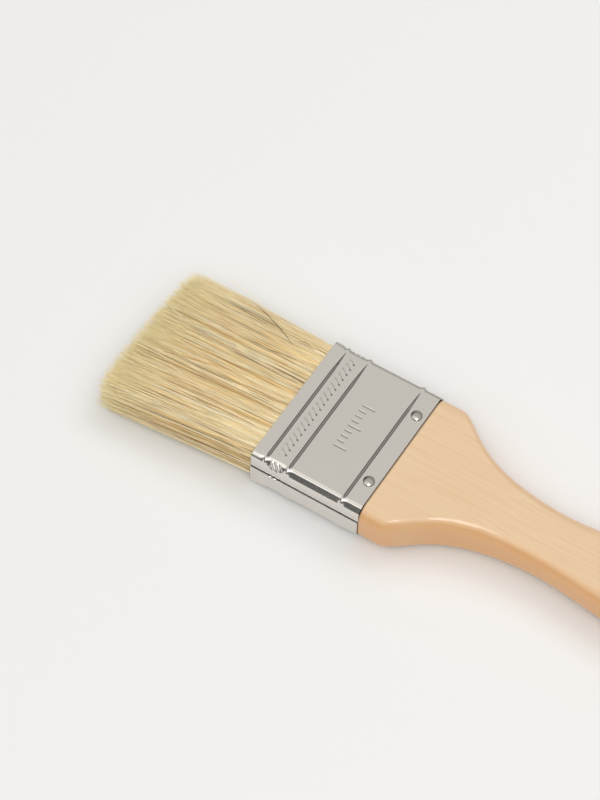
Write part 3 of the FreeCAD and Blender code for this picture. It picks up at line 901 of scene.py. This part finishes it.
# Pale beech under clear lacquer: straight grain along the handle, short darker flecks, narrow sides painted
# warmer and darker as shade, and a wet shine over small dents. Real flecks are finer, and these are drawn
# coarse enough to show.
WOOD_GRAIN = (71.43, 2.381, 2.381)
WOOD_CLOUD = 14.29
WOOD_FLECKS = (3.846, 0.3125, 0.3125)
DENT_SPACING = 11.76
JOINT_SHADOW = 0.8 * MM
wood_material, tree, shader = new_material("lacquered_pale_beech")
place = add(tree, "ShaderNodeTexCoord").node.outputs["Object"]
grain = add(tree, "ShaderNodeMapping", place, None, None, cells(*WOOD_GRAIN))
grain = add(tree, "ShaderNodeTexNoise", grain, None, 1.0, 4.0, 0.55, None, 0.3)
wood = add(tree, "ShaderNodeValToRGB", grain)
set_ramp(wood, [(0.2, "#E4C49D"), (0.5, "#EACDA8"), (0.8, "#EDD2B0")])
cloud = add(tree, "ShaderNodeTexNoise", place, None, *cells(WOOD_CLOUD), 2.0, 0.5)
cloud = add(tree, "ShaderNodeMapRange", cloud, 0.35, 0.7, 0.0, 0.65)
wood = add(tree, "ShaderNodeMix", cloud, wood.node.outputs["Color"], colour("#E2B98D"), data_type="RGBA")
side = add(tree, "ShaderNodeAttribute", attribute_name="side").node.outputs["Fac"]
# painted shade: sideways-facing wood is painted a warmer, darker tone
wood = add(tree, "ShaderNodeMix", side, wood, colour("#E4A869"), data_type="RGBA")
flecks = add(tree, "ShaderNodeMapping", place, None, None, cells(*WOOD_FLECKS))
flecks = add(tree, "ShaderNodeTexNoise", flecks, None, 1.0, 1.0, 0.5)
flecks = add(tree, "ShaderNodeMapRange", flecks, 0.66, 0.8, 0.0, 0.3)
wood = add(tree, "ShaderNodeMix", flecks, wood, colour("#B98852"), data_type="RGBA")
along = add(tree, "ShaderNodeSeparateXYZ", place).node.outputs["X"]
# painted shade, with a little dirt, darkens the wood in the joint beside the ferrule
joint_shade = add(tree, "ShaderNodeMapRange", along, HEEL_X + JOINT_GAP, HEEL_X + JOINT_SHADOW, 0.75, 0.0)
wood = add(tree, "ShaderNodeMix", joint_shade, wood, colour("#4A2C14"), data_type="RGBA")
tree.links.new(wood, shader.inputs["Base Color"])
shader.inputs["Roughness"].default_value = 0.38
shader.inputs["Coat Weight"].default_value = 0.7
shader.inputs["Coat Roughness"].default_value = 0.08
dents = add(tree, "ShaderNodeTexVoronoi", place, None, *cells(DENT_SPACING))
dents = add(tree, "ShaderNodeMapRange", dents, 0.02, 0.07, 0.0, 1.0)
dents = add(tree, "ShaderNodeBump", 0.25, 0.1 * MM, None, dents)
tree.links.new(dents, shader.inputs["Coat Normal"])

handle = solid_piece("handle_beech", points, faces, wood_material)
handle.data.set_sharp_from_angle(angle=math.radians(60))

# The hanging hole is bored through and its two rims are countersunk.
rim_radius = HOLE_RADIUS + HOLE_RIM
profile = [
    (HOLE_RADIUS, 0),
    (HOLE_RADIUS, HOLE_STRAIGHT),
    (rim_radius, HOLE_STRAIGHT + HOLE_RIM),
    (rim_radius, CUTTER_HALF),
]
profile = [(r, -h) for r, h in profile[:0:-1]] + profile
ring_points = []
for r, h in profile:
    for k in range(HOLE_SIDES):
        angle = 2 * math.pi * k / HOLE_SIDES
        ring_points.append((HOLE_X + r * math.cos(angle), r * math.sin(angle), MID_HEIGHT + h))
ring_faces = []
for row in range(len(profile) - 1):
    for k in range(HOLE_SIDES):
        a, b = row * HOLE_SIDES + k, row * HOLE_SIDES + (k + 1) % HOLE_SIDES
        ring_faces.append((a, b, b + HOLE_SIDES, a + HOLE_SIDES))
ring_faces.append(tuple(range(HOLE_SIDES))[::-1])
ring_faces.append(tuple(range((len(profile) - 1) * HOLE_SIDES, len(profile) * HOLE_SIDES)))
cutter = solid_piece("hole_cutter", np.array(ring_points), ring_faces, wood_material)
cut = handle.modifiers.new("hole", "BOOLEAN")
cut.object = cutter
cut.solver = "EXACT"
bpy.context.view_layer.update()
evaluated = handle.evaluated_get(bpy.context.evaluated_depsgraph_get())
bored = bpy.data.meshes.new_from_object(evaluated)
handle.modifiers.clear()
handle.data = bored
bpy.data.objects.remove(cutter)
bored.set_sharp_from_angle(angle=math.radians(30))

# side is how far a place faces sideways; there the wood is painted warmer and darker as shade
SIDE_SHADE = 0.8
normals = np.zeros(len(bored.vertices) * 3, np.float32)
bored.vertices.foreach_get("normal", normals)
facing = np.abs(normals.reshape(-1, 3)[:, 1])
side = (SIDE_SHADE * smooth(facing, 0.2, 0.95)).astype(np.float32)
bored.attributes.new("side", "FLOAT", "POINT").data.foreach_set("value", side)
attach(handle, "root")
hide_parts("handle")

# ================================================================ nails
# Four round-head steel nails hold the ferrule to the tenon, two from each face. They are driven through
# holes pressed in the sheet, and their plated domes stay as they are and only get their finish.

# Nickel over steel, polished: a small hard mirror with fine scuffs.
NAIL_SCUFFS = 0.5556
nail_material, tree, shader = new_material("polished_nickel_steel")
place = add(tree, "ShaderNodeTexCoord").node.outputs["Object"]
scuff = add(tree, "ShaderNodeTexNoise", place, None, *cells(NAIL_SCUFFS), 2.0, 0.6)
steel = add(tree, "ShaderNodeMix", scuff, colour("#AEAAA2"), colour("#D2CEC6"), data_type="RGBA")
tree.links.new(steel, shader.inputs["Base Color"])
shader.inputs["Metallic"].default_value = 1.0
rough = add(tree, "ShaderNodeMapRange", scuff, 0.3, 0.7, 0.12, 0.22)
tree.links.new(rough, shader.inputs["Roughness"])
for name in ("nail_front_left", "nail_front_right", "nail_back_left", "nail_back_right"):
    nodes[name].data.materials.clear()
    nodes[name].data.materials.append(nail_material)

# ================================================================ floor, light and camera
# A pale sweep of paper, a small soft lamp over the near side, a wide one behind, and a room for the metal to
# reflect: bright overhead and in front, and dark low down.

FLOOR = 3.0
floor_mesh = bpy.data.meshes.new("floor_paper")
floor_corners = [(-FLOOR, -FLOOR, 0), (FLOOR, -FLOOR, 0), (FLOOR, FLOOR, 0), (-FLOOR, FLOOR, 0)]
floor_mesh.from_pydata(floor_corners, [], [(0, 1, 2, 3)])
floor = show(bpy.data.objects.new("floor_paper", floor_mesh))

# Uncoated white paper: matt and even, a shade off white.
PAPER_FIBRE = 25
paper_material, tree, shader = new_material("white_paper")
place = add(tree, "ShaderNodeTexCoord").node.outputs["Object"]
fibre = add(tree, "ShaderNodeTexNoise", place, None, *cells(PAPER_FIBRE), 2.0, 0.5)
paper = add(tree, "ShaderNodeMix", fibre, colour("#F0F0F0"), colour("#F2F2F2"), data_type="RGBA")
tree.links.new(paper, shader.inputs["Base Color"])
shader.inputs["Roughness"].default_value = 0.9
floor_mesh.materials.append(paper_material)

# The room's grey runs from the horizon to overhead. It is even behind the brush and brighter in front.
world = bpy.data.worlds.new("studio")
bpy.context.scene.world = world
world.use_nodes = True
tree = world.node_tree
direction = add(tree, "ShaderNodeTexCoord").node.outputs["Generated"]
direction = add(tree, "ShaderNodeSeparateXYZ", direction).node.outputs
room = add(tree, "ShaderNodeValToRGB", direction["Z"])
set_ramp(
    room,
    [
        (0.0, "#1C1C1C"),
        (0.12, "#161616"),
        (0.15, "#A8A8A6"),
        (0.18, "#161616"),
        (0.3, "#141414"),
        (0.36, "#6A6A68"),
        (0.46, "#A0A09E"),
        (0.62, "#CFCECB"),
        (0.8, "#DCDAD6"),
        (1.0, "#E4E2DE"),
    ],
)
behind = add(tree, "ShaderNodeMapRange", direction["Y"], 0.6, 0.9, 0.0, 1.0)
room = room.node.outputs["Color"]
room = add(tree, "ShaderNodeMix", behind, room, colour("#B4B2AE"), data_type="RGBA")
tree.links.new(room, tree.nodes["Background"].inputs["Color"])
front_window = add(tree, "ShaderNodeMapRange", direction["Y"], -0.02, -0.28, 1.0, 1.7)
tree.links.new(front_window, tree.nodes["Background"].inputs["Strength"])


def lamp(name, place, width, height, power):
    """A soft rectangular lamp at a place, turned to face the brush."""
    light = bpy.data.lights.new(name, "AREA")
    light.shape = "RECTANGLE"
    light.size, light.size_y = width, height
    light.energy = power
    obj = show(bpy.data.objects.new(name, light))
    obj.location = place
    obj.rotation_euler = (-Vector(place)).to_track_quat("-Z", "Y").to_euler()
    return obj


lamp("key_lamp", (0.36, -0.72, 1.17), width=0.45, height=0.45, power=3.8)
back_lamp = lamp("back_lamp", (0.3, 0.9, 1.3), width=1.2, height=0.8, power=5.0)
back_lamp.visible_glossy = False

AZIMUTH, ELEVATION, ROLL = (math.radians(a) for a in (30.61, 56.08, -1.73))
DISTANCE = 0.900
AIM = Vector((-50.53, 4.04, 8.4)) * MM
LENS = 131.4  # millimetres, as the sensor
SENSOR = 36
flat = math.cos(ELEVATION)
back = Vector((math.sin(AZIMUTH) * flat, -math.cos(AZIMUTH) * flat, math.sin(ELEVATION)))
level = Vector((math.cos(AZIMUTH), math.sin(AZIMUTH), 0))
upright = back.cross(level)
right = level * math.cos(ROLL) - upright * math.sin(ROLL)
above = level * math.sin(ROLL) + upright * math.cos(ROLL)
lens = bpy.data.cameras.new("camera")
lens.lens = LENS
lens.sensor_width = SENSOR
lens.clip_start = 0.05
camera = show(bpy.data.objects.new("camera", lens))
turned = Matrix((right, above, back)).transposed().to_4x4()
camera.matrix_world = Matrix.Translation(AIM + back * DISTANCE) @ turned
bpy.context.scene.camera = camera
bpy.context.scene.view_settings.view_transform = "Standard"
